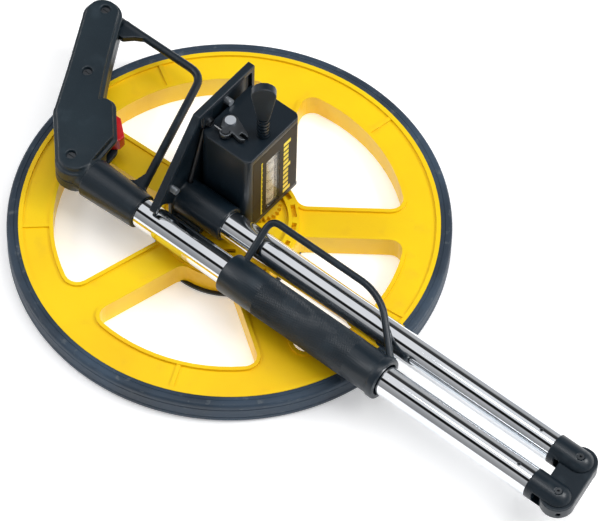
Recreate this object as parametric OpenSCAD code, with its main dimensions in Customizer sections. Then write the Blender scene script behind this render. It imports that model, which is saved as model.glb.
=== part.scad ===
// Folding measuring wheel, lying flat with its shaft folded back over the wheel.
// Origin: wheel axis at the floor. +X runs along the tubes to the hinge, +Z is up.

/* [Wheel] */
// Outer diameter of the tyre, so that one turn measures one metre
wheel_d = 318.3; // [306:0.1:330]
// Width of the tyre and the wheel
wheel_w = 19.3; // [18:0.1:23]
// Radial thickness of the tyre
tyre_t = 8.3; // [6:0.1:10]
// Radial width of the yellow rim
rim_w = 25; // [20:0.5:29]
// Number of spokes
spokes = 5; // [4:1:6]
// Width of a spoke
spoke_w = 27; // [23:0.5:33]
// Radius of the hub drum
hub_r = 50; // [49:0.5:56]

/* [Tubes and hinge] */
// Outer diameter of both tubes
tube_d = 22; // [21:0.1:23]
// Wall thickness of both tubes
tube_wall = 1.2; // [1:0.1:1.8]
// Distance between the two tubes' axes when folded
tube_gap = 31.5; // [31:0.5:37]
// Distance from the wheel axis to the lower hinge pin, along the tubes
hinge_x = 324.3; // [290:0.1:380]
// How far the upper hinge pin stands beyond the lower one
hinge_skew = 5; // [3:0.5:6]
// Diameter of the hinge pins
pin_d = 5; // [4:0.1:6]

/* [Counter] */
// Length of the counter housing along the tubes
box_l = 44.5; // [42:0.5:48]
// Width of the counter housing across the tubes
box_w = 57; // [55:0.5:66]
// Height of the counter housing
box_h = 78; // [74:0.5:94]
// Diameter of the number drums
drum_d = 16; // [13:0.1:16.5]
// Number of teeth on the drive gear and on the pinion
teeth = 22; // [18:2:26]

/* [Handle] */
// Length of the locking sleeve on the upper tube
sleeve_l = 140; // [120:1:160]
// Diameter of the locking sleeve
sleeve_d = 30; // [29:0.1:31]
// Thickness of the pistol grip
grip_t = 28; // [26:0.5:30]
// Diameter of the bars of the hand guard and of the loop
bar_d = 5.3; // [4.5:0.1:6]
// Reach of the loop's bar from the upper tube's axis
loop_reach = 47.5; // [46:0.5:56]

/* [Hidden] */
$fn = 64;

fit = 0.05;             // radial clearance of a turning or sliding fit
air = 0.5;              // gap between parts that pass each other
far = 400;              // longer than any cut needs

// Heights, stacked from the floor
skin = 2.8;             // wall thickness of the yellow moulding
web_top = wheel_w - 2;
web_bottom = web_top - skin;
hub_floor = wheel_w - 1.8;
hub_top = wheel_w + 1.7;
gear_z = hub_floor + 0.7;
gear_h = 3.4;
plate_z = wheel_w + 3.2;
plate_t = 4.5;
box_z = plate_z + plate_t;
box_top = box_z + box_h;
tube_z = plate_z + 19.5;

// Wheel radii
wheel_r = wheel_d / 2;
rim_r = wheel_r - tyre_t;
window_r = rim_r - rim_w;
window_corner = 9;
recess_r = 42;
boss_r = 15;
axle_r = 5;
bearing_r = 11;
bearing_h = 6;
cover_t = 2;
first_spoke = 38;
tongue_h = wheel_w / 4; // height of the tyre's tongue

// Tubes and hinge
tube_r = tube_d / 2;
bore_r = tube_r - tube_wall;
box_y = -3;             // side of the counter housing, beside the lower tube
lower_y = box_y - tube_r - 2;
upper_y = lower_y - tube_gap;
pin_r = pin_d / 2;
upper_pin_x = hinge_x + hinge_skew;
collar_l = 21;          // from a knuckle's collar to its pin
plug_l = 20;            // length of a knuckle's plug inside its tube
slot_h = 10;            // height of a knuckle's slot
slot_l = 15;            // from the slot's floor to the pin
link_r = 12.4;
rivet_x = 12.5;         // from a knuckle's collar back to its rivet

// Counter
box_x = -25;
wall = 2.5;
counter_x = 10;
counter_y = 24;
gear_distance = norm([counter_x, counter_y]);
gear_module = gear_distance / teeth;
drum_w = 10.2;
drum_pitch = 10.8;
drum_z = box_z + 5.5;
shaft_r = 2;
front_x = box_x + box_l;
window_h = 15;          // across the tubes
window_l = 57;          // along the drums
window_z = drum_z - 1.8;

// Brake
brake_x = -12.5;
brake_y = 15.2;
brake_r = 3;
shoe_angle = 170;
pad_r = recess_r - 3.4; // centre of the pad's rubbing face from the wheel axis
clamp_x = brake_x + 3;
clamp_y = brake_y - 9;
lever_end = [2, 11];
arm_z = box_top + 1.5;
arm_t = 4;

// Bracket
bracket_x0 = box_x - 6;
bracket_x1 = box_x;
bracket_web = 3;
flange_t = 4.5;
bracket_top = box_top + 17;
bracket_tip = [lower_y - 36, tube_z + 16.5];
kink_y = -3.5;
back_y = box_y + box_w + 3;
socket_r = tube_r + 2.5;
socket_x = 13;
pad_x = -6;             // front of the pad under the socket

// Handle
collar_r = tube_r + 4;     // at the grip
collar_end_r = tube_r + 2;
collar_x0 = -88;
collar_x1 = -41;
grip_end_x = -98;       // end of the upper tube inside the grip
half_t = grip_t / 2;
grip_wall = 2.6;
crown = 4.5;            // height over which the shells' faces draw in
grip_knots = [[-173, upper_y + 109.5], [-151, upper_y + 69.5], [-129, upper_y + 30.5], [-103, upper_y]];
grip_radii = [14.5, 15, 17, 15];
grip_nose = [[-117, upper_y + 46.5], [-101, upper_y + 27.5]];
nose_radii = [9, 10];
screw_spots = [[-173, upper_y + 113], [-146, upper_y + 62], [-106, upper_y - 1.5]];
guard_path = [[-168, upper_y + 119.5], [-87, upper_y + 120], [-52, upper_y + 8]];
trigger_hinge = [-116, upper_y + 46.5];
trigger_t = 11;
bar_r = bar_d / 2;

// Sleeve and loop
sleeve_x0 = 39;
sleeve_x1 = sleeve_x0 + sleeve_l;
sleeve_r = sleeve_d / 2;
lip_r = sleeve_r + 1;
loop_tilt = asin((tube_r + bar_r + 0.65) / tube_gap);
loop_path = [
  [sleeve_x0 + 5.5, tube_r + 2.5], [sleeve_x0 + 3.5, loop_reach], [sleeve_x0 + 92, loop_reach],
  [sleeve_x0 + 108, loop_reach - 6], [sleeve_x1 - 5, tube_r + 3]
];

// ---- shared shapes ----

// Cylinder along X, from x0 to x1
module rod_x(x0, x1, r) {
  translate([x0, 0, 0]) rotate([0, 90, 0]) cylinder(h = x1 - x0, r = r);
}

// Upright ring
module ring(z0, z1, r_out, r_in) {
  translate([0, 0, z0]) difference() {
    cylinder(h = z1 - z0, r = r_out);
    translate([0, 0, -1]) cylinder(h = z1 - z0 + 2, r = r_in);
  }
}

// Upright cylinder between two heights
module post(z0, z1, r) {
  translate([0, 0, z0]) cylinder(h = z1 - z0, r = r);
}

// Flat rectangle with four round corners
module round_rect(x0, x1, y0, y1, r) {
  translate([x0 + r, y0]) square([x1 - x0 - 2 * r, y1 - y0]);
  translate([x0, y0 + r]) square([x1 - x0, y1 - y0 - 2 * r]);
  for (x = [x0 + r, x1 - r], y = [y0 + r, y1 - r]) translate([x, y]) circle(r);
}

// Straight sides of a bar between two round ends; they start just inside the ends' edges
module bar_sides(p, rp, q, rq) {
  gap = norm(q - p);
  lean = acos((rp - rq) / gap);
  edge = 0.985 * [cos(lean), sin(lean)];
  below = [edge[0], -edge[1]];
  translate(p) rotate(atan2(q[1] - p[1], q[0] - p[0]))
    polygon([rp * edge, [gap, 0] + rq * edge, [gap, 0] + rq * below, rp * below]);
}

// Flat bar between two round ends of different radius
module taper_bar(p, rp, q, rq) {
  translate(p) circle(rp);
  translate(q) circle(rq);
  bar_sides(p, rp, q, rq);
}

// The same bar as a solid of height h
module taper_plate(p, rp, q, rq, h) {
  translate(p) cylinder(h = h, r = rp);
  translate(q) cylinder(h = h, r = rq);
  linear_extrude(h) bar_sides(p, rp, q, rq);
}

function unit(v) = v / norm(v);

// Path in space with its corners rounded
function rounded(path, cut, steps = 6) = [
  for (i = [0 : len(path) - 1])
    if (i == 0 || i == len(path) - 1) path[i]
    else let (a = path[i] + cut * unit(path[i - 1] - path[i]),
              b = path[i] + cut * unit(path[i + 1] - path[i]))
      for (k = [0 : steps]) let (t = k / steps)
        (1 - t) * (1 - t) * a + 2 * t * (1 - t) * path[i] + t * t * b
];

// Round bar bent along a flat path in the XY plane
module bent_bar(path, bend, r) {
  cord(rounded([for (p = path) [p[0], p[1], 0]], bend), r, [0, 0, 1], 16);
}

// Cord or bar swept along a path in space; side_way is never parallel to the path
module cord(path, r, side_way, sides = 8) {
  last = len(path) - 1;
  rings = [for (i = [0 : last])
    let (t = unit(path[min(i + 1, last)] - path[max(i - 1, 0)]),
         n = unit(cross(t, side_way)), b = cross(n, t))
      [for (k = [0 : sides - 1]) path[i] + r * (cos(360 * k / sides) * n + sin(360 * k / sides) * b)]];
  points = [for (one = rings) each one];
  skin_faces = [for (i = [0 : last - 1], k = [0 : sides - 1])
    let (m = (k + 1) % sides, a = i * sides, b = a + sides)
      each [[a + k, b + m, b + k], [a + k, a + m, b + m]]];
  start = [for (k = [sides - 1 : -1 : 0]) k];
  end = [for (k = [0 : sides - 1]) last * sides + k];
  polyhedron(points, concat(skin_faces, [start, end]));
}

// ---- wheel ----

// Points of an arc, every few degrees
function arc(centre, r, from, to, steps = 5) = [
  for (k = [0 : steps]) let (a = from + (to - from) * k / steps) centre + r * [cos(a), sin(a)]
];

// One window between two spokes, grown on every side by grow
module window(grow) {
  half = 180 / spokes;
  r_out = window_r + grow;
  r_in = hub_r + 1 - grow;
  side = spoke_w / 2 - grow;
  corner = window_corner + grow;
  a_out = asin((side + corner) / (r_out - corner));
  a_in = asin((side + corner) / (r_in + corner));
  outer = (r_out - corner) * [cos(a_out), sin(a_out)];
  inner = (r_in + corner) * [cos(a_in), sin(a_in)];
  edge = concat(
    arc([0, 0], r_in, half, a_in, 3),
    arc(inner, corner, a_in + 180, 270),
    arc(outer, corner, -90, a_out),
    arc([0, 0], r_out, a_out, half, 6));
  other_half = [for (k = [len(edge) - 2 : -1 : 1]) let (p = edge[k])
    [p[0] * cos(2 * half) + p[1] * sin(2 * half), p[0] * sin(2 * half) - p[1] * cos(2 * half)]];
  rotate(first_spoke) polygon(concat(edge, other_half));
}

module windows(grow) {
  for (k = [0 : spokes - 1]) rotate(k * 360 / spokes) window(grow);
}

// The hollow between the moulding's walls
module channel() {
  difference() {
    circle(rim_r - 3.2, $fn = 180);
    windows(skin);
  }
}

module tyre() {
  edge_r = 2;
  color("#303840") rotate_extrude($fn = 240) {
    translate([rim_r, 0]) square([tyre_t - edge_r, wheel_w]);
    translate([rim_r, edge_r]) square([tyre_t, wheel_w - 2 * edge_r]);
    for (z = [edge_r, wheel_w - edge_r]) translate([wheel_r - edge_r, z]) circle(edge_r);
    translate([rim_r - 1.6, (wheel_w - tongue_h) / 2]) square([2.6, tongue_h]);
  }
}

module wheel() {
  rib_t = 1.6;
  rim_rib_t = 3;
  half = 180 / spokes;
  color("#f2cd12") difference() {
    union() {
      difference() {
        union() {
          translate([0, 0, 0.4]) linear_extrude(wheel_w - 0.4) difference() {
            circle(rim_r, $fn = 180);
            windows(0);
          }
          post(0.4, hub_top, hub_r);
        }
        // hollow seen from above
        translate([0, 0, web_top]) linear_extrude(9) difference() {
          channel();
          circle(hub_r);
        }
        // hollow seen from below
        translate([0, 0, -1]) linear_extrude(web_bottom + 1) channel();
      }
      // short ribs across the rim, midway between the spokes
      for (k = [0 : spokes - 1]) rotate(first_spoke + half + 4 + k * 2 * half)
        translate([window_r + skin / 2, -rim_rib_t / 2, 0.4])
          cube([rim_w - skin - 1, rim_rib_t, wheel_w - 1]);
      // ribs from the bearing boss to the drum
      for (k = [0 : 2 * spokes - 1]) rotate(first_spoke + k * half)
        translate([boss_r - 2, -rib_t / 2, cover_t + 3]) cube([hub_r - boss_r, rib_t, web_bottom - cover_t - 2]);
      post(cover_t + 2, hub_floor + 0.7, boss_r);
      // bosses that take the cover's screws
      for (k = [0 : 2]) rotate(120 * k + 60) translate([30, 0, 0]) post(cover_t + 0.1, web_bottom + 1, 4);
    }
    for (k = [0 : 2]) rotate(120 * k + 60) translate([30, 0, 0]) post(-1, cover_t + 6, 1.6);
    post(hub_floor + 0.7, far, recess_r);
    ring(hub_floor, far, recess_r, boss_r);
    post(cover_t + 3, far, bearing_r);
    post(-1, far, axle_r + 3.5);
    // seat of the cover
    post(-1, cover_t + 0.05, hub_r + 3.8);
    // groove that holds the tyre's tongue
    translate([0, 0, (wheel_w - tongue_h) / 2]) linear_extrude(tongue_h) difference() {
      circle(rim_r + 5, $fn = 180);
      circle(rim_r - 1.6, $fn = 180);
    }
    // slots round the drum's top
    for (k = [0 : 17]) rotate(first_spoke + 20 * k + 10) translate([44.4, -5.5, hub_floor - 1])
      cube([3.4, 11, 9]);
    // slots in the floor round the boss
    for (k = [0 : 9]) rotate(first_spoke + 36 * k + 18) translate([24.5, -5, web_bottom - 1])
      cube([3, 10, 9]);
  }
}

module hub_cover() {
  color("#26292c") difference() {
    union() {
      post(0, cover_t, hub_r + 3.5);
      ring(cover_t, cover_t + 2, hub_r - skin - 1.4, hub_r - skin - 4);
    }
    for (k = [0 : 2]) rotate(120 * k + 60) translate([30, 0, 0.8]) post(0, 9, 1.6);
  }
}

module cover_screws() {
  color("silver") for (k = [0 : 2]) rotate(120 * k + 60) translate([30, 0, 0])
    post(0.8, cover_t + 3, 1.55);
}

module wheel_bearings() {
  color("silver") for (k = [0, 1]) translate([0, 0, cover_t + 3.2 + k * (bearing_h + 0.3)])
    ring(0, bearing_h, bearing_r, axle_r + fit);
}

// Flat outline of a gear with straight-sided teeth
module gear_outline(offset_turn) {
  pitch_r = gear_module * teeth / 2;
  step = 360 / teeth;
  root_r = pitch_r - 1.2 * gear_module;
  tip_r = pitch_r + 0.85 * gear_module;
  rotate(offset_turn) polygon([for (k = [0 : teeth - 1], c = [
      [root_r, -0.36], [tip_r, -0.12], [tip_r, 0.12], [root_r, 0.36]])
    c[0] * [cos(step * (k + c[1])), sin(step * (k + c[1]))]]);
}

module drive_gear() {
  toward = atan2(counter_y, counter_x);
  color("#e8e4d8") translate([0, 0, gear_z]) difference() {
    linear_extrude(gear_h) gear_outline(toward);
    post(-1, 9, 7.6);
  }
}

module axle() {
  color("silver") difference() {
    union() {
      post(cover_t + 0.8, plate_z, axle_r);
      post(gear_z + 2.6, plate_z, 7);
      post(plate_z, box_z, 4);
    }
    ring(cover_t + 1.6, cover_t + 2.8, axle_r + 1, axle_r - 0.8);
  }
}

module axle_clip() {
  color("dimgray") ring(cover_t + 1.65, cover_t + 2.75, 7.4, axle_r - 0.75);
}

// ---- bracket and counter ----

// Outline of the bracket's upright web, drawn in Y and Z
function web_edge() = [
  bracket_tip, [kink_y, bracket_top], [back_y, bracket_top], [back_y, plate_z],
  [lower_y - socket_r - 1.5, plate_z], [lower_y - socket_r - 1.5, tube_z + 4],
  [bracket_tip[0] + 13, bracket_tip[1] - 4.5], [bracket_tip[0] + 2, bracket_tip[1] - 2.5]
];

// Extrudes an outline drawn in Y and Z, from x0 to x1
module across(x0, x1) {
  translate([x0, 0, 0]) rotate([90, 0, 90]) linear_extrude(x1 - x0) children();
}

module bracket() {
  slope = unit([kink_y, bracket_top] - bracket_tip);
  inward = [slope[1], -slope[0]];
  color("#24292d") difference() {
    union() {
      across(bracket_x0, bracket_x0 + bracket_web) polygon(web_edge());
      // flange round the web's sloping, top and back edges
      across(bracket_x0, bracket_x1) polygon([
        bracket_tip, [kink_y, bracket_top], [back_y, bracket_top], [back_y, plate_z],
        [back_y - flange_t + 1, plate_z], [back_y - flange_t + 1, bracket_top - flange_t],
        [kink_y + flange_t * 0.5, bracket_top - flange_t],
        bracket_tip + slope * 4 + inward * flange_t, bracket_tip + inward * 3
      ]);
      // foot under the counter
      translate([bracket_x0, box_y - 9, plate_z])
        cube([front_x - bracket_x0 - 0.8, box_w + 8, plate_t]);
      translate([bracket_x0, lower_y - 16, plate_z])
        cube([pad_x - bracket_x0, 28, plate_t]);
      // socket of the lower tube, and the pad that joins it to the foot
      translate([0, lower_y, tube_z]) rod_x(bracket_x0, socket_x, socket_r);
      translate([bracket_x0, lower_y - 9, box_z - 1])
        cube([pad_x - bracket_x0, 18, tube_z - box_z - tube_r + 2]);
      // stop that holds the cable's adjuster
      translate([bracket_x0 + 1, clamp_y - 4.5, arm_z - 5])
        cube([bracket_x1 - bracket_x0 - 1, 9, bracket_top - arm_z]);
    }
    // seat of the tube, ending at the web
    translate([0, lower_y, tube_z]) rod_x(bracket_x0 + bracket_web, far, tube_r);
    // way for the cable out of the socket, between the web and the counter
    cord(cable_way(), 2.4, cable_side);
    // room for the counter housing
    translate([box_x, box_y - 0.01, box_z]) cube([far, far, far]);
    // riveted end of the axle
    post(plate_z - 1, far, 4);
    // bores of the counter shaft and of the brake spindle
    translate([counter_x, counter_y, 0]) post(-1, far, shaft_r + fit);
    translate([brake_x, brake_y, 0]) post(-1, far, brake_r + fit);
    // holes of the two web screws
    for (p = web_screws) translate([0, p[0], p[1]]) rod_x(bracket_x0 - 1, bracket_x1, 1.6);
  }
}

web_screws = [[29, box_top + 3], [lower_y - 14, tube_z + 22]];

module bracket_screws() {
  color("silver") for (p = web_screws) translate([0, p[0], p[1]]) {
    rod_x(bracket_x0 + 0.4, bracket_x0 + bracket_web, 1.55);
    rod_x(bracket_x0 + bracket_web, bracket_x0 + bracket_web + 5, 2.7);
  }
}

// Route of the lower cable: out of the tube, up behind the counter, over to the brake arm
wire_z = arm_z + arm_t / 2;
rise_x = box_x - 1.75;
cable_side = [0, 0.94, -0.35];
function cable_way() = rounded([
  [hinge_x - slot_l - 0.5, lower_y, tube_z], [rise_x, lower_y, tube_z],
  [rise_x, clamp_y, wire_z], [bracket_x1 + 0.6, clamp_y, wire_z]
], 2.4);

module counter_housing() {
  color("#24292d") difference() {
    translate([0, 0, box_z]) linear_extrude(box_h)
      round_rect(box_x, front_x, box_y, box_y + box_w, 5);
    // hollow, open towards the bracket's foot
    translate([box_x + wall, box_y + wall, box_z - 1])
      cube([box_l - 2 * wall, box_w - 2 * wall, box_h + 1 - wall]);
    // window and the recess for the face plate
    translate([front_x - wall - 1, counter_y - window_h / 2, window_z]) cube([9, window_h, window_l]);
    translate([front_x - 0.6, box_y + 5, box_z + 2]) cube([9, box_w - 9, box_h - 7]);
    // bores in the lid
    translate([counter_x, counter_y, 0]) post(box_top - 9, far, 3 + fit);
    translate([brake_x, brake_y, 0]) post(box_top - 9, far, brake_r + fit);
    for (p = housing_screw_spots) translate([p[0], p[1], 0]) post(box_z - 1, box_z + 9, 1.5);
  }
  // posts that take the screws from below
  color("#24292d") for (p = housing_screw_spots) translate([p[0], p[1], 0])
    ring(box_z, box_z + 9, 3.4, 1.5);
}

housing_screw_spots = [for (x = [box_x + 5.5, front_x - 5.5]) [x, box_y + box_w - 5.5]];

module housing_screws() {
  color("silver") for (p = housing_screw_spots) translate([p[0], p[1], 0])
    post(box_z + 0.2, box_z + 8, 1.45);
}

// Printed face round the window, set flush into the housing
module counter_face() {
  color("#3a3128") difference() {
    translate([front_x - 0.6, box_y + 5, box_z + 2]) cube([0.6, box_w - 9, box_h - 7]);
    translate([front_x - 2, counter_y - window_h / 2, window_z]) cube([9, window_h, window_l]);
  }
}

module counter_window() {
  color("#c8d0d8", 0.4) translate([front_x - 1.2, counter_y - window_h / 2, window_z])
    cube([1, window_h, window_l]);
}

// Bent plate inside the housing that carries the counter's shaft
module counter_chassis() {
  top_z = drum_z + 5 * drum_pitch + 0.6;
  color("silver") difference() {
    union() {
      for (z = [box_z + 0.4, top_z]) translate([counter_x - 13, counter_y - 8, z]) cube([18, 16, 2]);
      translate([counter_x - 13, counter_y - 8, box_z + 0.4]) cube([1.6, 16, top_z - box_z + 1.6]);
    }
    translate([counter_x, counter_y, 0]) post(0, far, shaft_r + fit);
  }
}

module counter_pinion() {
  away = atan2(counter_y, counter_x) + 180 + 180 / teeth;
  color("#e8e4d8") translate([counter_x, counter_y, gear_z]) difference() {
    linear_extrude(gear_h) gear_outline(away);
    post(-1, 9, shaft_r);
  }
}

module counter_shaft() {
  color("silver") translate([counter_x, counter_y, 0])
    post(gear_z, drum_z + 5 * drum_pitch + 4, shaft_r);
}

// One number drum; the first is fixed on the shaft and the rest turn on it
module number_drum(n) {
  hole = n == 1 ? shaft_r : shaft_r + fit;
  color("#ece9e0") translate([counter_x, counter_y, drum_z + (n - 1) * drum_pitch])
    ring(0, drum_w, drum_d / 2, hole);
}

// ---- reset knob and brake ----

stem_top = box_top + 23;
key_turn = 38;          // way the key's face is turned
key_r = 8.8;
key_h = 33;
key_t = 6.5;

module reset_stem() {
  color("#24292d") translate([counter_x, counter_y, 0]) {
    post(box_top - 6, box_top + 0.4, 3);
    post(box_top + 0.4, stem_top - 3.85, 4);
    for (k = [0 : 4]) translate([0, 0, box_top + 1.2 + 3.5 * k]) ring(0, 2, 4.7, 3.9);
  }
}

// Key-shaped thumb piece, standing on the stem
module reset_knob() {
  color("#24292d") translate([counter_x, counter_y, stem_top]) rotate(key_turn) rotate([90, 0, 0])
    translate([0, 0, -key_t / 2]) taper_plate([0, 1], 4.8, [0, key_h - key_r], key_r, key_t);
}

module brake_spindle() {
  color("silver") translate([brake_x, brake_y, 0]) {
    post(gear_z + 0.2, arm_z + arm_t, brake_r);
    post(arm_z + arm_t, arm_z + arm_t + 1.2, 4);
  }
}

module brake_arm() {
  color("#24292d") difference() {
    translate([0, 0, arm_z]) {
      taper_plate([brake_x, brake_y], 6, [clamp_x, clamp_y], 4.4, arm_t);
      taper_plate([brake_x, brake_y], 6, lever_end, 4, arm_t);
    }
    translate([brake_x, brake_y, 0]) post(0, far, brake_r);
    translate([clamp_x, clamp_y, 0]) post(0, far, 2.6);
    // groove that the wire lies in
    translate([clamp_x - 16, clamp_y - 1, wire_z - 1]) cube([16, 2, 9]);
    // fork at the end of the lever
    translate([lever_end[0] - 2, lever_end[1] - 1.3, arm_z - 1]) cube([9, 2.6, 9]);
  }
}

// Centre of the pad's back, and the outward way there
shoe_out = [cos(shoe_angle), sin(shoe_angle)];

module brake_shoe() {
  color("silver") difference() {
    translate([0, 0, gear_z + 0.2])
      taper_plate([brake_x, brake_y], 4.9, (pad_r - 6) * shoe_out, 3, gear_h - 0.4);
    translate([brake_x, brake_y, 0]) post(0, far, brake_r);
  }
}

module brake_pad() {
  color("#4a3b30") difference() {
    translate([0, 0, gear_z + 0.2]) linear_extrude(gear_h - 0.4) intersection() {
      difference() {
        circle(pad_r);
        circle(pad_r - 6);
      }
      polygon([[0, 0], far * [cos(shoe_angle - 9), sin(shoe_angle - 9)],
        far * [cos(shoe_angle + 9), sin(shoe_angle + 9)]]);
    }
    translate([0, 0, gear_z])
      taper_plate([brake_x, brake_y], 4.9, (pad_r - 6) * shoe_out, 3, gear_h);
  }
}

module cable_clamp() {
  color("silver") translate([clamp_x, clamp_y, 0]) {
    post(arm_z - 0.6, arm_z + arm_t + 0.2, 2.6);
    post(arm_z + arm_t + 0.2, arm_z + arm_t + 1, 2.9);
  }
}

module cable_adjuster() {
  color("silver") translate([0, clamp_y, wire_z]) difference() {
    union() {
      rod_x(bracket_x1, box_x + 3, 2.9);
      rod_x(bracket_x1, bracket_x1 + 1.4, 3.4);
    }
    rod_x(-far, far, 2);
  }
}

// ---- brake cable, held inside the tubes ----

module brake_cable_lower() {
  color("#1c1e20") cord(cable_way(), 1.45, cable_side);
}

// Bare wire from the adjuster to the clamp
module brake_wire() {
  color("silver") translate([0, clamp_y, wire_z]) rod_x(box_x + 5.4, clamp_x - 2.6, 0.7);
}

// The short piece inside the link
module brake_cable_link() {
  along = unit([hinge_skew, -tube_gap]);
  color("#1c1e20") translate([hinge_x, lower_y, tube_z]) rotate(atan2(along[1], along[0]))
    translate([0, 6, 0]) rod_x(2, norm([hinge_skew, tube_gap]) - 2, 1.45);
}

module brake_cable_upper() {
  path = rounded([
    [upper_pin_x - slot_l - 0.5, upper_y, tube_z], [grip_end_x + 6, upper_y, tube_z],
    [grip_end_x - 16, upper_y + 16, tube_z], trigger_tail() + [-1, -7, 0]
  ], 6);
  color("#1c1e20") cord(path, 1.45, [0, 0, 1]);
}

function trigger_tail() = [trigger_hinge[0] - 6, trigger_hinge[1] - 12, tube_z];

// ---- tubes and hinge ----

module tube(y, x0, x1) {
  color("#e4e8ea") translate([0, y, tube_z]) difference() {
    rod_x(x0, x1, tube_r);
    rod_x(x0 - 1, x1 + 1, bore_r);
    rivet_hole(x1 - rivet_x);
  }
}

module rivet_hole(x) {
  translate([x, 0, 0]) cylinder(h = far, r = 1.5);
}

module lower_tube() {
  x0 = bracket_x0 + bracket_web + 0.05;
  difference() {
    tube(lower_y, x0, hinge_x - collar_l);
    // opening for the cable at the bracket's end
    translate([x0 - 1, lower_y - 3.5, tube_z]) cube([10, 12, 30]);
  }
}

module upper_tube() {
  tube(upper_y, grip_end_x, upper_pin_x - collar_l);
}

// Forked end of a tube: plug, collar and two round cheeks
module knuckle(x, y) {
  color("#24292d") translate([x, y, tube_z]) difference() {
    union() {
      rod_x(-collar_l, 0, tube_r);
      sphere(tube_r);
      rod_x(-collar_l - plug_l, -collar_l, bore_r - 0.02);
    }
    // slot that the link turns in
    translate([-slot_l, -far / 2, -slot_h / 2]) cube([far, far, slot_h]);
    translate([0, 0, -far / 2]) cylinder(h = far, r = pin_r + fit);
    // way for the cable
    rod_x(-collar_l - plug_l - 1, 0, 2.4);
    rivet_hole(-collar_l - rivet_x);
  }
}

module lower_knuckle() knuckle(hinge_x, lower_y);
module upper_knuckle() knuckle(upper_pin_x, upper_y);

module rivet(x, y) {
  color("dimgray") translate([x - collar_l - rivet_x, y, tube_z]) difference() {
    cylinder(h = tube_r - 0.1, r = 1.45);
    translate([0, 0, -1]) cylinder(h = 4.5, r = 3);
    translate([0, 0, tube_r - 1.5]) cylinder(h = 9, r = 0.7);
  }
}

module lower_rivets() rivet(hinge_x, lower_y);
module upper_rivets() rivet(upper_pin_x, upper_y);

module hinge_link() {
  color("#24292d") difference() {
    translate([0, 0, tube_z - slot_h / 2 + 0.3])
      taper_plate([hinge_x, lower_y], link_r, [upper_pin_x, upper_y], link_r, slot_h - 0.6);
    for (p = [[hinge_x, lower_y], [upper_pin_x, upper_y]]) translate(p) post(0, far, pin_r);
    // channel that the cable lies in
    translate([hinge_x, lower_y, tube_z]) rotate(atan2(-tube_gap, hinge_skew))
      translate([0, 6, 0]) rod_x(-20, norm([hinge_skew, tube_gap]) + 20, 1.5);
  }
}

module hinge_pins() {
  color("dimgray") for (p = [[hinge_x, lower_y], [upper_pin_x, upper_y]]) translate(p) difference() {
    post(tube_z - tube_r + 0.3, tube_z + tube_r - 0.2, pin_r);
    post(tube_z + tube_r - 1.7, far, 1);
  }
}

// ---- hand guard and grip ----

module hand_guard() {
  color("#24292d") difference() {
    union() {
      translate([collar_x0, upper_y, tube_z]) rotate([0, 90, 0])
        cylinder(h = collar_x1 - collar_x0, r1 = collar_r, r2 = collar_end_r);
      translate([0, 0, tube_z]) bent_bar(guard_path, 11, bar_r + 0.5);
      guard_webs();
    }
    translate([0, upper_y, tube_z]) rod_x(-far, far, tube_r);
  }
}

// Web that broadens the bar towards the grip, and the bar's foot on the collar
module guard_webs() {
  translate([0, upper_y, tube_z - bar_r]) linear_extrude(2 * bar_r) {
    polygon([[-160, 122], [-134, 121], [-146, 113.5], [-152, 107.5], [-160, 107.5]]);
    polygon([[-70, 12], [-62, 17], [-59.5, 30], [-53, 17], [-45, 12]]);
  }
}

// Flat outline of the grip, made smaller all round by inset
module grip_outline(inset) {
  difference() {
    union() {
      for (i = [0 : 2])
        taper_bar(grip_knots[i], grip_radii[i] - inset, grip_knots[i + 1], grip_radii[i + 1] - inset);
      taper_bar(grip_nose[0], nose_radii[0] - inset, grip_nose[1], nose_radii[1] - inset);
      taper_bar(grip_nose[1], nose_radii[1] - inset, grip_knots[3], grip_radii[3] - inset);
      polygon([grip_knots[2], grip_nose[0], grip_nose[1], grip_knots[3]]);
    }
    translate([collar_x0 - inset, -far / 2]) square([far, far]);
  }
}

// One half of the grip; side is 1 for the upper shell and -1 for the lower one
module grip_shell(side) {
  color("#24292d") difference() {
    union() {
      difference() {
        union() {
          translate([0, 0, side > 0 ? tube_z : tube_z - half_t + crown])
            linear_extrude(half_t - crown) grip_outline(0);
          translate([0, 0, side > 0 ? tube_z : tube_z - half_t])
            linear_extrude(half_t) grip_outline(crown * 0.6);
        }
        translate([0, 0, tube_z - half_t + grip_wall])
          linear_extrude(grip_t - 2 * grip_wall) grip_outline(crown * 0.6 + grip_wall);
      }
      for (p = screw_spots) translate([p[0], p[1], tube_z]) rotate([side > 0 ? 0 : 180, 0, 0])
        post(0, half_t - 1, 4.6);
      // seat that clamps the upper tube
      intersection() {
        translate([0, upper_y, tube_z]) rod_x(grip_end_x, collar_x0, tube_r + 2);
        translate([-far, -far, side > 0 ? tube_z : tube_z - far]) cube(2 * far * [1, 1, 0] + [0, 0, far]);
      }
    }
    translate([0, upper_y, tube_z]) rod_x(grip_end_x, far, tube_r);
    translate([0, upper_y, tube_z]) rod_x(grip_end_x - 1, far, tube_r - 2);
    for (p = screw_spots) translate([p[0], p[1], tube_z]) {
      cylinder(h = half_t, r = 1.6);
      translate([0, 0, half_t - 4]) cylinder(h = 9, r = 3.6);
      translate([0, 0, -half_t + 3]) cylinder(h = half_t, r = 1.6);
    }
    // seats of the guard's bar, the trigger's pin and the trigger's mouth
    translate([0, 0, tube_z]) bent_bar(guard_path, 11, bar_r + 0.5);
    guard_webs();
    translate(trigger_hinge) post(tube_z - 9, tube_z + 9, 2);
    translate([0, 0, tube_z - trigger_t / 2 - 0.5]) linear_extrude(trigger_t + 1) trigger_mouth();
  }
}

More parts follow.
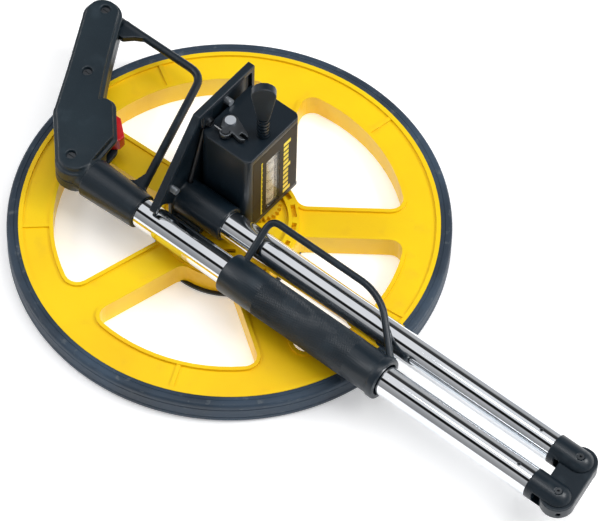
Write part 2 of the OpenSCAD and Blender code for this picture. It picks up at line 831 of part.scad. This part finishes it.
// Space that the trigger swings in, open at the nose
module trigger_mouth() {
  translate(trigger_hinge) {
    circle(6);
    taper_bar([0, 0], 5.6, [32, -15], 5.6);
    taper_bar([0, 0], 5.6, [22, -25], 4.6);
    taper_bar([0, 0], 6, [-12, -15], 5.6);
    polygon([[0, 0], [32, -13], [22, -29], [-10, -20]]);
    taper_bar([4, 7], 3.2, [32, -7], 3.2);
  }
}

module grip_upper_shell() grip_shell(1);
module grip_lower_shell() grip_shell(-1);

module grip_screws() {
  color("dimgray") for (p = screw_spots) translate([p[0], p[1], 0]) difference() {
    union() {
      post(tube_z - half_t + 4, tube_z + half_t - 4, 1.55);
      post(tube_z + half_t - 4, tube_z + half_t - 2.2, 3.2);
    }
    translate([-2.4, -0.4, tube_z + half_t - 3]) cube([4.8, 0.8, 3]);
  }
}

module trigger() {
  tail = trigger_tail();
  color("#d81828") translate([0, 0, tube_z - trigger_t / 2]) difference() {
    union() {
      linear_extrude(trigger_t) translate(trigger_hinge) polygon([
        [0, 0], [3, 3.5], [12, 3.4], [24.5, -7], [24.5, -12], [18, -18], [4, -7]
      ]);
      taper_plate(trigger_hinge, 4.6, [tail[0], tail[1]], 3, trigger_t);
    }
    translate([trigger_hinge[0], trigger_hinge[1], -1]) cylinder(h = 99, r = 2 + fit);
  }
}

module trigger_pin() {
  color("silver") translate(trigger_hinge) post(tube_z - 9, tube_z + 9, 2);
}

// Torsion spring round the trigger's pin, with one leg against the shell
module trigger_spring() {
  turns = 3;
  coil_r = 2.6;
  pitch = 1.3;
  coil = [for (k = [0 : turns * 10]) [coil_r * cos(36 * k), coil_r * sin(36 * k), pitch * k / 10]];
  color("silver") translate([trigger_hinge[0], trigger_hinge[1], tube_z + trigger_t / 2 + 1])
    cord(concat(coil, [[coil_r, 1, pitch * turns]]), 0.45, [0, 0, 1], 6);
}

// ---- locking sleeve and loop ----

module locking_sleeve() {
  color("#24292d") translate([0, upper_y, tube_z]) difference() {
    union() {
      rod_x(sleeve_x0, sleeve_x1, sleeve_r);
      rod_x(sleeve_x1 - 6, sleeve_x1, lip_r);
    }
    rod_x(-far, far, tube_r + fit);
    // wider bore, so that the sleeve can run over the straightened hinge
    rod_x(sleeve_x0 + 45, far, link_r + 0.3);
    rotate([loop_tilt, 0, 0]) bent_bar(loop_path, 8, bar_r);
  }
}

module loop_handle() {
  color("#24292d") translate([0, upper_y, tube_z]) difference() {
    rotate([loop_tilt, 0, 0]) bent_bar(loop_path, 8, bar_r);
    rod_x(-far, far, link_r + 0.3);
  }
}

tyre();
wheel();
hub_cover();
cover_screws();
wheel_bearings();
drive_gear();
axle();
axle_clip();
bracket();
bracket_screws();
counter_housing();
housing_screws();
counter_face();
counter_window();
counter_chassis();
counter_pinion();
counter_shaft();
number_drum(1);  // number_drum_1
number_drum(2);  // number_drum_2
number_drum(3);  // number_drum_3
number_drum(4);  // number_drum_4
number_drum(5);  // number_drum_5
reset_knob();
reset_stem();
brake_spindle();
brake_arm();
brake_shoe();
brake_pad();
cable_clamp();
cable_adjuster();
brake_wire();
brake_cable_lower();
brake_cable_link();
brake_cable_upper();
lower_tube();
lower_knuckle();
lower_rivets();
hinge_link();
hinge_pins();
upper_tube();
upper_knuckle();
upper_rivets();
hand_guard();
grip_upper_shell();
grip_lower_shell();
grip_screws();
trigger();
trigger_pin();
trigger_spring();
locking_sleeve();
loop_handle();
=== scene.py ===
"""A folding measuring wheel lying on its side, with its shaft folded back over the wheel."""

import math

import bmesh
import bpy
from mathutils import Matrix, Vector


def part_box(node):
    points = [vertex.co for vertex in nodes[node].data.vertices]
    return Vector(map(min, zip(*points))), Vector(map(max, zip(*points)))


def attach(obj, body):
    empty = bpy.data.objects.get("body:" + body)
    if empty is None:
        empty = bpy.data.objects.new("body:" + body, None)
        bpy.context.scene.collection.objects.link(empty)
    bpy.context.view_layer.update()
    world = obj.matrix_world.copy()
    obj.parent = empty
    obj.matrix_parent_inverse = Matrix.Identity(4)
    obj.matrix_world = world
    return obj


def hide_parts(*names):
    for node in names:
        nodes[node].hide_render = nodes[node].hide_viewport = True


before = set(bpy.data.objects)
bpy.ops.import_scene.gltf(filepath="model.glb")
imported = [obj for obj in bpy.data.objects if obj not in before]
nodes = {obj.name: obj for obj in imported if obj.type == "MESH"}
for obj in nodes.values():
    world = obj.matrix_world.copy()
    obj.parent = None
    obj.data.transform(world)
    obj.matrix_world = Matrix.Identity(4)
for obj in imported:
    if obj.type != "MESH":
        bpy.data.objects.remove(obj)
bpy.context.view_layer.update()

# ---- Camera ----
# A long lens on a tall stand looks down on the wheel from the hinge's side, and it is held a
# little out of level.
AIM = Vector((0.0528, 0.0153, 0.0))
CAMERA_PLACE = Vector((1.141, -1.377, 2.542))
CAMERA_LEAN = math.radians(1.73)
camera = bpy.data.objects.new("camera", bpy.data.cameras.new("camera"))
camera.data.lens = 260
camera.data.sensor_width = 36
camera.data.clip_end = 20
look = (AIM - CAMERA_PLACE).to_track_quat("-Z", "Y").to_matrix().to_4x4()
camera.matrix_world = Matrix.Translation(CAMERA_PLACE) @ look @ Matrix.Rotation(CAMERA_LEAN, 4, "Z")
bpy.context.scene.collection.objects.link(camera)
bpy.context.scene.camera = camera

# ---- Yellow wheel moulding ----
# The five-spoked wheel is one injection moulding in glossy yellow polypropylene, ribbed underneath.
# It keeps its modelled shape and gets small moulded edge radii and rubbed dust.
MM = 0.001


class Term:
    """The output of a shader node, which can be added, multiplied and so on in plain sums."""

    def __init__(self, finish, socket):
        self.finish = finish
        self.socket = socket

    def maths(self, operation, first, second):
        return self.finish.add("Math", {"operation": operation}, {0: first, 1: second})

    def __add__(self, other):
        return self.maths("ADD", self, other)

    def __radd__(self, other):
        return self.maths("ADD", other, self)

    def __mul__(self, other):
        return self.maths("MULTIPLY", self, other)

    def __rmul__(self, other):
        return self.maths("MULTIPLY", other, self)


class Finish:
    """A material in the making, with its surface shader and the coordinates of the piece at rest."""

    def __init__(self, name, **surface):
        self.material = bpy.data.materials.new(name)
        self.material.use_nodes = True
        self.tree = self.material.node_tree
        self.surface = self.tree.nodes["Principled BSDF"]
        self.place = self.add("TexCoord", out="Object")
        for socket, value in surface.items():
            self.surface.inputs[socket.replace("_", " ")].default_value = value

    def join(self, socket, value):
        if isinstance(value, Term):
            self.tree.links.new(value.socket, socket)
        else:
            socket.default_value = value

    def add(self, kind, settings=None, sockets=None, out=0):
        """A node of one kind: its settings, among them a ramp's stops, and then its sockets."""
        node = self.tree.nodes.new("ShaderNode" + kind)
        for name, value in (settings or {}).items():
            if name != "stops":
                setattr(node, name, value)
                continue
            points = node.color_ramp.elements
            while len(points) < len(value):
                points.new(0.5)
            for point, (where, shade) in zip(points, value):
                point.position = where
                point.color = shade
        for name, value in (sockets or {}).items():
            self.join(node.inputs[name], value)
        return Term(self, node.outputs[out])

    def noise(self, scale, detail, stretch=(1.0, 1.0, 1.0)):
        place = self.add("VectorMath", {"operation": "MULTIPLY"}, {0: self.place, 1: stretch})
        return self.add("TexNoise", None, {"Vector": place, "Scale": scale, "Detail": detail})

    def between(self, value, low, high):
        return self.add("MapRange", None, {"Value": value, "From Min": low, "From Max": high})

    def mix(self, factor, first, second):
        settings = {"data_type": "RGBA"}
        return self.add("Mix", settings, {0: factor, 6: first, 7: second}, out=2)

    def set(self, **sockets):
        for name, value in sockets.items():
            self.join(self.surface.inputs[name.replace("_", " ")], value)

    def bump(self, height, depth, strength=1.0):
        settings = {"Height": height, "Distance": depth, "Strength": strength}
        self.set(Normal=self.add("Bump", None, settings, out="Normal"))


def colour(red, green, blue):
    """A colour as it looks on a screen, in the shader's own scale."""
    return tuple(((part / 255 + 0.055) / 1.055) ** 2.4 for part in (red, green, blue)) + (1.0,)


def paint(piece, finish):
    piece.data.materials.clear()
    piece.data.materials.append(finish.material)


def moulded(name, main, second, dust, grain, depth, rough, gloss=0.0, shine=0.5):
    """Injection-moulded plastic: slow colour drift, an even spark-eroded grain and a little dust."""
    finish = Finish(name, Coat_Weight=gloss, Coat_Roughness=0.12, Specular_IOR_Level=shine)
    drift = finish.between(finish.noise(14, 4), 0.35, 0.68)
    dusty = finish.between(finish.noise(55, 6), 0.58, 0.80)
    specks = finish.between(finish.noise(1400, 1), 0.66, 0.74)
    body = finish.mix(drift, main, second)
    finish.set(Base_Color=finish.mix(dusty * 0.35 + specks * 0.25, body, dust))
    finish.set(Roughness=rough + drift * 0.06 + dusty * 0.16)
    finish.bump(finish.noise(grain, 2) + finish.noise(140, 2) * 0.5, depth)
    return finish


def eased(piece, width, segments=2):
    """Small radii on a modelled piece's edges."""
    bevel = piece.modifiers.new("edges", "BEVEL")
    bevel.width = width
    bevel.segments = segments
    bevel.limit_method = "ANGLE"
    bevel.angle_limit = math.radians(35)
    bevel.harden_normals = True


yellow = moulded(
    "yellow_polypropylene", colour(253, 214, 14), colour(248, 200, 8), colour(222, 172, 30),
    grain=700, depth=0.00004, rough=0.34, gloss=0.18, shine=0.35)
paint(nodes["wheel"], yellow)
eased(nodes["wheel"], 0.5 * MM)

# ---- Tyre ----
# Solid rubber tyre, slate grey, moulded with rounded shoulders, one fine groove in each side and
# two round the tread. A tongue inside it sits in the wheel's groove and holds it.


def new_piece(name, points, faces, body, finish, slot, *stands_for, smooth=40):
    mesh = bpy.data.meshes.new(name)
    mesh.from_pydata(points, [], faces)
    mesh.update()
    work = bmesh.new()
    work.from_mesh(mesh)
    bmesh.ops.recalc_face_normals(work, faces=work.faces)
    work.to_mesh(mesh)
    work.free()
    piece = bpy.data.objects.new(name, mesh)
    bpy.context.scene.collection.objects.link(piece)
    mesh.shade_smooth()
    mesh.set_sharp_from_angle(angle=math.radians(smooth))
    paint(piece, finish)
    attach(piece, body)
    if stands_for:
        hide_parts(*stands_for)


def lathe(profile, count):
    """Points and faces of a closed profile of (radius, height), turned about the Z axis."""
    points = []
    for step in range(count):
        turn = 2 * math.pi * step / count
        points += [(r * math.cos(turn), r * math.sin(turn), z) for r, z in profile]
    size = len(profile)
    faces = []
    for step in range(count):
        here = step * size
        there = (step + 1) % count * size
        for k in range(size):
            m = (k + 1) % size
            faces.append((here + k, there + k, there + m, here + m))
    return points, faces


def arc(x, y, radius, start, end):
    steps = 6
    turns = [math.radians(start + (end - start) * k / steps) for k in range(steps + 1)]
    return [(x + radius * math.cos(a), y + radius * math.sin(a)) for a in turns]


tyre_low, tyre_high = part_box("tyre")
tyre_r = (tyre_high[0] - tyre_low[0]) / 2
tyre_w = tyre_high[2]
SIDE_TALL = 8.2 * MM
SEAT_EDGE = 0.3 * MM
SHOULDER = 2.6 * MM
SIDE_GROOVE = ((2.6 * MM, 0.0), (3.0 * MM, 0.35 * MM), (3.4 * MM, 0.0))
TREAD_GROOVE_IN = 5.2 * MM
TREAD_GROOVE_HALF = 0.5 * MM
TREAD_GROOVE_DEEP = 0.45 * MM
seat_r = tyre_r - SIDE_TALL
profile = [(seat_r, SEAT_EDGE)]
profile += [(seat_r + out, deep) for out, deep in SIDE_GROOVE]
profile += arc(tyre_r - SHOULDER, SHOULDER, SHOULDER, -90, 0)
for height in (TREAD_GROOVE_IN, tyre_w - TREAD_GROOVE_IN):
    profile += [(tyre_r, height - TREAD_GROOVE_HALF), (tyre_r - TREAD_GROOVE_DEEP, height),
                (tyre_r, height + TREAD_GROOVE_HALF)]
profile += arc(tyre_r - SHOULDER, tyre_w - SHOULDER, SHOULDER, 0, 90)
profile += [(seat_r + out, tyre_w - deep) for out, deep in reversed(SIDE_GROOVE)]
profile += [(seat_r, tyre_w - SEAT_EDGE)]

rubber = Finish("tyre_rubber", Specular_IOR_Level=0.4)
bloom = rubber.between(rubber.noise(22, 5), 0.42, 0.72)
scuffs = rubber.between(rubber.noise(160, 5, (1, 1, 4)), 0.60, 0.75)
slate = rubber.mix(bloom, colour(36, 50, 64), colour(54, 72, 90))
rubber.set(Base_Color=rubber.mix(scuffs * 0.5, slate, colour(112, 118, 120)))
rubber.set(Roughness=0.50 + bloom * 0.14 + scuffs * 0.12)
rubber.bump(rubber.noise(1100, 3) + scuffs * 0.6, 0.00009)
TYRE_FACETS = 240
points, faces = lathe(profile, TYRE_FACETS)
new_piece("tyre_ring", points, faces, "road_wheel", rubber, "tyre_rubber", "tyre")

# ---- Hub: cover, bearings, gear, axle ----
# A screwed black cover closes the hub from below. Two ball bearings run on a steel axle that is
# riveted into the bracket, and the nylon gear on the hub turns the counter's pinion.
black = moulded(
    "black_nylon", colour(14, 26, 35), colour(20, 34, 44), colour(50, 66, 76),
    grain=1500, depth=0.00006, rough=0.34, gloss=0.12, shine=0.38)
paint(nodes["hub_cover"], black)
eased(nodes["hub_cover"], 0.4 * MM)


def metal(name, main, second, rough, stretch=(1, 1, 1)):
    """Drawn, turned or plated metal: fine lines along the work, faint stains and small scratches."""
    finish = Finish(name, Metallic=1.0)
    lines = finish.noise(900, 2, stretch)
    stain = finish.between(finish.noise(26, 5), 0.45, 0.75)
    scratch = finish.between(finish.noise(320, 4, (0.15, 1, 1)), 0.67, 0.72)
    finish.set(Base_Color=finish.mix(stain, main, second))
    finish.set(Roughness=rough + lines * 0.05 + stain * 0.05 + scratch * 0.15)
    finish.bump(lines + scratch, 0.00001, 0.6)
    return finish


steel = metal("bright_steel", colour(196, 198, 200), colour(160, 163, 166), 0.22, (1, 1, 6))
for name in ("cover_screws", "wheel_bearings", "axle", "axle_clip"):
    paint(nodes[name], steel)
nylon = moulded(
    "yellow_nylon", colour(232, 186, 20), colour(220, 172, 14), colour(170, 130, 40),
    grain=1200, depth=0.00003, rough=0.42)
for name in ("drive_gear", "counter_pinion"):
    paint(nodes[name], nylon)
    eased(nodes[name], 0.15 * MM)

# ---- Bracket and counter housing ----
# Black glass-filled nylon mouldings with soft edges: the bracket's web, flange, foot and tube
# socket are one piece, held by zinc-plated screws, and the counter's housing is screwed to its
# foot with plain steel ones.


def softened(node, body, finish, voxel, passes):
    """A copy of a modelled piece with every edge rounded, as a moulding's are."""
    copy = bpy.data.objects.new(node + "_moulding", nodes[node].data.copy())
    bpy.context.scene.collection.objects.link(copy)
    remesh = copy.modifiers.new("remesh", "REMESH")
    remesh.mode = "VOXEL"
    remesh.voxel_size = voxel
    smooth = copy.modifiers.new("smooth", "SMOOTH")
    smooth.factor = 0.5
    smooth.iterations = passes
    thin = copy.modifiers.new("thin", "DECIMATE")
    thin.ratio = 0.30
    evaluated = copy.evaluated_get(bpy.context.evaluated_depsgraph_get())
    settled = bpy.data.meshes.new_from_object(evaluated)
    copy.modifiers.clear()
    copy.data = settled
    settled.shade_smooth()
    paint(copy, finish)
    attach(copy, body)
    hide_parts(node)


softened("bracket", "head", black, voxel=0.7 * MM, passes=3)
softened("counter_housing", "head", black, voxel=0.7 * MM, passes=4)
zinc = metal("bright_zinc", colour(226, 232, 238), colour(190, 198, 206), 0.42)
paint(nodes["bracket_screws"], zinc)
eased(nodes["bracket_screws"], 0.8 * MM, segments=4)
paint(nodes["housing_screws"], steel)

# ---- Counter face and window ----
# The printed face is a thin foil round a clear window. It carries a dashed yellow rule and a row of
# plain yellow bars, and the window shows the number drums.
foil = moulded(
    "printed_foil", colour(26, 20, 15), colour(34, 26, 19), colour(60, 52, 44),
    grain=2600, depth=0.00002, rough=0.46, shine=0.22)
paint(nodes["counter_face"], foil)
ink = moulded(
    "yellow_ink", colour(250, 226, 30), colour(240, 212, 22), colour(150, 130, 40),
    grain=2600, depth=0.00002, rough=0.34)
glass = Finish("clear_window", Roughness=0.08, Transmission_Weight=1.0, IOR=1.49, Alpha=0.30)
glass.set(Base_Color=glass.mix(glass.noise(60, 3), colour(205, 214, 222), colour(228, 234, 240)))
glass.bump(glass.noise(300, 2), 0.00002)
paint(nodes["counter_window"], glass)


def block(low, high):
    """Points and faces of a plain block between two corners."""
    corners = [(x, y, z) for x in (low[0], high[0]) for y in (low[1], high[1]) for z in (low[2], high[2])]
    faces = [(0, 1, 3, 2), (4, 6, 7, 5), (0, 4, 5, 1), (2, 3, 7, 6), (0, 2, 6, 4), (1, 5, 7, 3)]
    return corners, faces


face_low, face_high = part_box("counter_face")
window_low, window_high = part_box("counter_window")
front = face_high[0]
INK_PROUD = 0.12 * MM
INK_SUNK = 0.1 * MM
bars = []
RULE_BELOW = 5.6 * MM
RULE_MARGIN = 2.0 * MM
rule_y = window_low[1] - RULE_BELOW
rule_start = face_low[2] + RULE_MARGIN
DASHES = 34
DASH_PITCH = 1.8 * MM
DASH_LONG = 1.3 * MM
for step in range(DASHES):
    start = rule_start + step * DASH_PITCH
    wide = 1.0 * MM if step % 3 else 1.5 * MM
    bars.append((rule_y, rule_y + wide, start, start + DASH_LONG))
BARS_ABOVE = 4.0 * MM
BARS_MARGIN = 2.5 * MM
bar_y = window_high[1] + BARS_ABOVE
BARS = 11
BAR_PITCH = 5.5 * MM
BAR_LONG = 3.6 * MM
for step in range(BARS):
    start = face_low[2] + BARS_MARGIN + step * BAR_PITCH
    tall = 7.6 * MM if step % 5 == 0 else 5.4 * MM
    bars.append((bar_y, bar_y + tall, start, start + BAR_LONG))
points = []
faces = []
for y0, y1, z0, z1 in bars:
    corners, sides = block((front - INK_SUNK, y0, z0), (front + INK_PROUD, y1, z1))
    faces += [tuple(len(points) + k for k in side) for side in sides]
    points += corners
new_piece("face_marks", points, faces, "head", ink, "face_print")

# ---- Number drums ----
# Five white drums turn on one steel shaft in a pressed steel chassis. Each is moulded in acetal and
# has the digits 0 to 9 printed round its rim in black.
for name in ("counter_chassis", "counter_shaft"):
    paint(nodes[name], steel)
drum_white = moulded(
    "drum_white", colour(226, 222, 208), colour(214, 208, 192), colour(160, 150, 130),
    grain=1800, depth=0.00002, rough=0.40)
digit_black = moulded(
    "digit_ink", colour(22, 22, 24), colour(30, 30, 32), colour(60, 60, 60),
    grain=2600, depth=0.00001, rough=0.40)
DIGIT_TALL = 6.5 * MM
DIGIT_PROUD = 0.05 * MM
DIGIT_THICK = 0.02 * MM
STRIP = 0.55 * MM
STRIPS = 5
DIGITS = 10
DEGREES_APART = 36
DRUMS = 5
for drum in range(1, DRUMS + 1):
    node = "number_drum_%d" % drum
    paint(nodes[node], drum_white)
    low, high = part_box(node)
    centre = Vector(((low[0] + high[0]) / 2, (low[1] + high[1]) / 2, (low[2] + high[2]) / 2))
    radius = (high[0] - low[0]) / 2 + DIGIT_PROUD
    points = []
    faces = []
    for digit in range(DIGITS):
        text = bpy.data.curves.new("digit", "FONT")
        text.body = str(digit)
        text.size = DIGIT_TALL
        text.align_x = "CENTER"
        text.align_y = "CENTER"
        text.extrude = DIGIT_THICK
        shape = bpy.data.objects.new("digit", text)
        print_mesh = bmesh.new()
        print_mesh.from_mesh(bpy.data.meshes.new_from_object(shape))
        # cut into narrow strips, so that the digit bends round the rim
        for cut in range(-STRIPS, STRIPS + 1):
            whole = print_mesh.verts[:] + print_mesh.edges[:] + print_mesh.faces[:]
            across = (0, cut * STRIP, 0)
            bmesh.ops.bisect_plane(print_mesh, geom=whole, plane_co=across, plane_no=(0, 1, 0))
        print_mesh.verts.index_update()
        for face in print_mesh.faces:
            faces.append(tuple(len(points) + corner.index for corner in face.verts))
        # the digit's top points towards +Y at the front, and it reads along the shaft
        for corner in print_mesh.verts:
            about = math.radians(DEGREES_APART * digit) + corner.co.y / radius
            out = radius + corner.co.z
            points.append((centre.x + out * math.cos(about), centre.y + out * math.sin(about),
                           centre.z - corner.co.x))
        print_mesh.free()
        bpy.data.objects.remove(shape)
    body = "counter" if drum == 1 else "drum_%d" % drum
    new_piece("digits_%d" % drum, points, faces, body, digit_black, "drum_plastic")

# ---- Reset knob and brake spindle ----
# The knob is a thick key-shaped moulding on a ribbed stem, so that a thumb can turn it. The zinc
# spindle beside it carries the brake's forked arm above the housing and its shoe below.
softened("reset_knob", "reset", black, voxel=0.45 * MM, passes=4)
paint(nodes["reset_stem"], black)
eased(nodes["reset_stem"], 0.3 * MM)
paint(nodes["brake_spindle"], zinc)
eased(nodes["brake_spindle"], 0.5 * MM, segments=3)
dark_steel = metal("dark_steel", colour(96, 100, 104), colour(62, 66, 70), 0.34, (1, 1, 3))
softened("brake_arm", "brake", dark_steel, voxel=0.35 * MM, passes=3)
lining = moulded(
    "brake_lining", colour(70, 48, 34), colour(54, 38, 28), colour(110, 90, 70),
    grain=900, depth=0.0001, rough=0.75)
paint(nodes["brake_pad"], lining)
for name in ("brake_shoe", "brake_wire"):
    paint(nodes[name], steel)

# ---- Tubes and cable ----
# Two drawn steel tubes, polished and chromed bright. The brake's sheathed cable runs inside them
# from the trigger to its adjuster on the bracket.
chrome = Finish("chrome_plate", Metallic=1.0)
haze = chrome.between(chrome.noise(30, 5), 0.40, 0.75)
draw_lines = chrome.noise(1500, 2, (0.02, 1, 1))
hairs = chrome.between(chrome.noise(420, 3, (0.06, 1, 1)), 0.70, 0.74)
chrome.set(Base_Color=chrome.mix(haze, colour(236, 239, 242), colour(222, 227, 232)))
chrome.set(Roughness=0.03 + haze * 0.03 + hairs * 0.10)
chrome.bump(draw_lines * 0.4 + hairs, 0.000002, 0.15)
for name in ("lower_tube", "upper_tube"):
    paint(nodes[name], chrome)
sheath = moulded(
    "cable_sheath", colour(22, 22, 24), colour(30, 30, 33), colour(70, 70, 72),
    grain=1200, depth=0.00004, rough=0.40)
for name in ("brake_cable_lower", "brake_cable_link", "brake_cable_upper"):
    paint(nodes[name], sheath)
FITTING_EDGE = 0.25 * MM
for name in ("cable_adjuster", "cable_clamp"):
    paint(nodes[name], dark_steel)
    eased(nodes[name], FITTING_EDGE)

# ---- Hinge ----
# A forked black nylon knuckle is plugged into each tube's end and riveted there. One moulded link
# joins them and turns on a steel pin in each.
softened("lower_knuckle", "head", black, voxel=0.45 * MM, passes=2)
softened("upper_knuckle", "shaft", black, voxel=0.45 * MM, passes=2)
softened("hinge_link", "link", black, voxel=0.45 * MM, passes=3)
for name in ("lower_rivets", "upper_rivets", "hinge_pins"):
    paint(nodes[name], dark_steel)
    eased(nodes[name], FITTING_EDGE)

# ---- Grip, guard and trigger ----
# The pistol grip is two screwed shells of grained black nylon. Its guard is moulded in one with
# the collar on the tube, and the red trigger swings on a pin in the grip's nose.
grip_black = moulded(
    "grip_black", colour(17, 31, 40), colour(25, 41, 50), colour(54, 70, 80),
    grain=1100, depth=0.00010, rough=0.40, gloss=0.08, shine=0.38)
softened("grip_upper_shell", "shaft", grip_black, voxel=0.7 * MM, passes=8)
softened("grip_lower_shell", "shaft", grip_black, voxel=0.7 * MM, passes=8)
softened("hand_guard", "shaft", black, voxel=0.6 * MM, passes=3)
red = moulded(
    "trigger_red", colour(214, 18, 26), colour(196, 10, 20), colour(226, 90, 80),
    grain=900, depth=0.00003, rough=0.26, gloss=0.4)
softened("trigger", "trigger_body", red, voxel=0.4 * MM, passes=4)
paint(nodes["grip_screws"], dark_steel)
eased(nodes["grip_screws"], FITTING_EDGE)
for name in ("trigger_pin", "trigger_spring"):
    paint(nodes[name], steel)

# ---- Locking sleeve and loop ----
# The sleeve is one long moulding with a diamond knurl round its middle, plain ends and a raised
# lip. The loop's round bar grows out of it at both ends.
low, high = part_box("locking_sleeve")
tube_low, tube_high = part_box("upper_tube")
axis_y = (tube_low[1] + tube_high[1]) / 2
axis_z = (tube_low[2] + tube_high[2]) / 2
SLIDING_FIT = 0.05 * MM
LIP_PROUD = 1.0 * MM
bore = (tube_high[2] - tube_low[2]) / 2 + SLIDING_FIT
lip_r = (high[2] - low[2]) / 2
plain_r = lip_r - LIP_PROUD
KNURL_FIRST = 32 * MM
KNURL_LAST = 112 * MM
knurl_from = low[0] + KNURL_FIRST
knurl_to = low[0] + KNURL_LAST
KNURL_DEEP = 0.5 * MM
KNURL_ROUND = 60
FACETS = 4
knurl_pitch = 2 * math.pi * plain_r / KNURL_ROUND
MOUTH_DEEP = 20 * MM
mouth_r = bore + 1.4 * MM
mouth_end_r = bore + 1.2 * MM
EDGE = 1.0 * MM
EDGE_MIDDLE = 0.3 * MM
KNURL_GAP = 0.3 * MM
KNURL_SUNK = 0.4
LIP_STARTS = 7.0 * MM
LIP_FULL = 5.0 * MM
stations = []
for x, r in ((low[0], bore), (low[0], plain_r - EDGE),
             (low[0] + EDGE_MIDDLE, plain_r - EDGE_MIDDLE), (low[0] + EDGE, plain_r),
             (knurl_from - KNURL_GAP, plain_r)):
    stations.append((x, r, 0.0))
rows = int((knurl_to - knurl_from) / (knurl_pitch / FACETS))
for k in range(rows + 1):
    x = knurl_from + (knurl_to - knurl_from) * k / rows
    stations.append((x, plain_r - KNURL_DEEP * KNURL_SUNK, KNURL_DEEP))
for x, r in ((knurl_to + KNURL_GAP, plain_r), (high[0] - LIP_STARTS, plain_r),
             (high[0] - 5.6 * MM, lip_r - 0.2 * MM), (high[0] - LIP_FULL, lip_r),
             (high[0] - 0.9 * MM, lip_r), (high[0] - 0.25 * MM, lip_r - 0.3 * MM),
             (high[0], lip_r - EDGE), (high[0], mouth_r), (high[0] - MOUTH_DEEP, mouth_end_r),
             (high[0] - MOUTH_DEEP, bore)):
    stations.append((x, r, 0.0))
ROUND = KNURL_ROUND * FACETS
points = []
for x, r, deep in stations:
    for step in range(ROUND):
        turn = 2 * math.pi * step / ROUND
        along = (x - knurl_from) / knurl_pitch
        about = step / FACETS
        ridge = abs(math.sin(math.pi * (about + along))) * abs(math.sin(math.pi * (about - along)))
        radius = r + deep * ridge
        points.append((x, axis_y + radius * math.cos(turn), axis_z + radius * math.sin(turn)))
faces = []
for k in range(len(stations)):
    here = k * ROUND
    there = (k + 1) % len(stations) * ROUND
    for step in range(ROUND):
        beside = (step + 1) % ROUND
        faces.append((here + step, there + step, there + beside, here + beside))
new_piece("knurled_sleeve", points, faces, "sleeve", black, "black_plastic", "locking_sleeve",
          smooth=30)
softened("loop_handle", "sleeve", black, voxel=0.5 * MM, passes=3)

# ---- Floor, lights and surroundings ----
# A plain white floor under large soft lamps, in a pale room. The floor glows faintly, as paper does
# when it is lit from behind, and is not part of the wheel.
floor_mesh = bpy.data.meshes.new("floor")
HALF = 6.0
DROP = -0.2 * MM
floor_mesh.from_pydata(
    [(-HALF, -HALF, DROP), (HALF, -HALF, DROP), (HALF, HALF, DROP), (-HALF, HALF, DROP)],
    [], [(0, 1, 2, 3)])
floor = bpy.data.objects.new("floor", floor_mesh)
bpy.context.scene.collection.objects.link(floor)
floor_finish = Finish("white_floor", Roughness=0.9, Specular_IOR_Level=0.1,
                      Emission_Color=(1, 1, 1, 1), Emission_Strength=0.3)
cloud = floor_finish.noise(3, 2)
floor_finish.set(Base_Color=floor_finish.mix(cloud, colour(250, 250, 250), colour(254, 254, 254)))
paint(floor, floor_finish)
LAMP_AIM = Vector((0.05, 0.0, 0.03))


def lamp(name, place, size, power):
    light = bpy.data.lights.new(name, "AREA")
    light.shape = "RECTANGLE"
    light.size, light.size_y = size
    light.energy = power
    holder = bpy.data.objects.new(name, light)
    holder.location = place
    holder.rotation_euler = (LAMP_AIM - Vector(place)).to_track_quat("-Z", "Y").to_euler()
    bpy.context.scene.collection.objects.link(holder)


lamp("key", place=(1.3, 1.0, 1.7), size=(0.9, 0.9), power=25)
lamp("fill", place=(-1.5, -0.7, 1.5), size=(1.3, 0.6), power=9)
lamp("top", place=(0.2, 0.1, 2.4), size=(0.5, 1.6), power=14)


class Surroundings(Finish):
    """The room round the model, painted by the way that a ray leaves in."""

    def __init__(self, name):
        self.world = bpy.data.worlds.new(name)
        self.world.use_nodes = True
        self.tree = self.world.node_tree
        self.surface = self.tree.nodes["Background"]
        self.place = self.add("TexCoord", out="Generated")


# White panels, a trace blue, and dark gaps run along the tubes, overhead and beside them, and the
# chrome shows them.
room = Surroundings("room")
crosswise = room.add("VectorMath", {"operation": "MULTIPLY"}, {0: room.place, 1: (0, 1, 1)})
level = room.add("VectorMath", {"operation": "NORMALIZE"}, {0: crosswise})
side = room.add("VectorMath", {"operation": "DOT_PRODUCT"}, {0: level, 1: (0, 1, 0)}, out="Value")
BLUER = 1.02
stops = []
for where, white in ((0.0, 0.45), (0.14, 0.8), (0.16, 0.02), (0.28, 0.02), (0.31, 1.3), (0.70, 1.3),
                     (0.73, 0.05), (0.88, 0.08), (0.94, 0.8)):
    stops.append((where, (white, white, white * BLUER, 1.0)))
panels = room.add("ValToRGB", {"stops": stops}, {0: side * 0.5 + 0.5})
room.set(Color=panels, Strength=0.62)
bpy.context.scene.world = room.world
bpy.context.scene.view_settings.view_transform = "Standard"
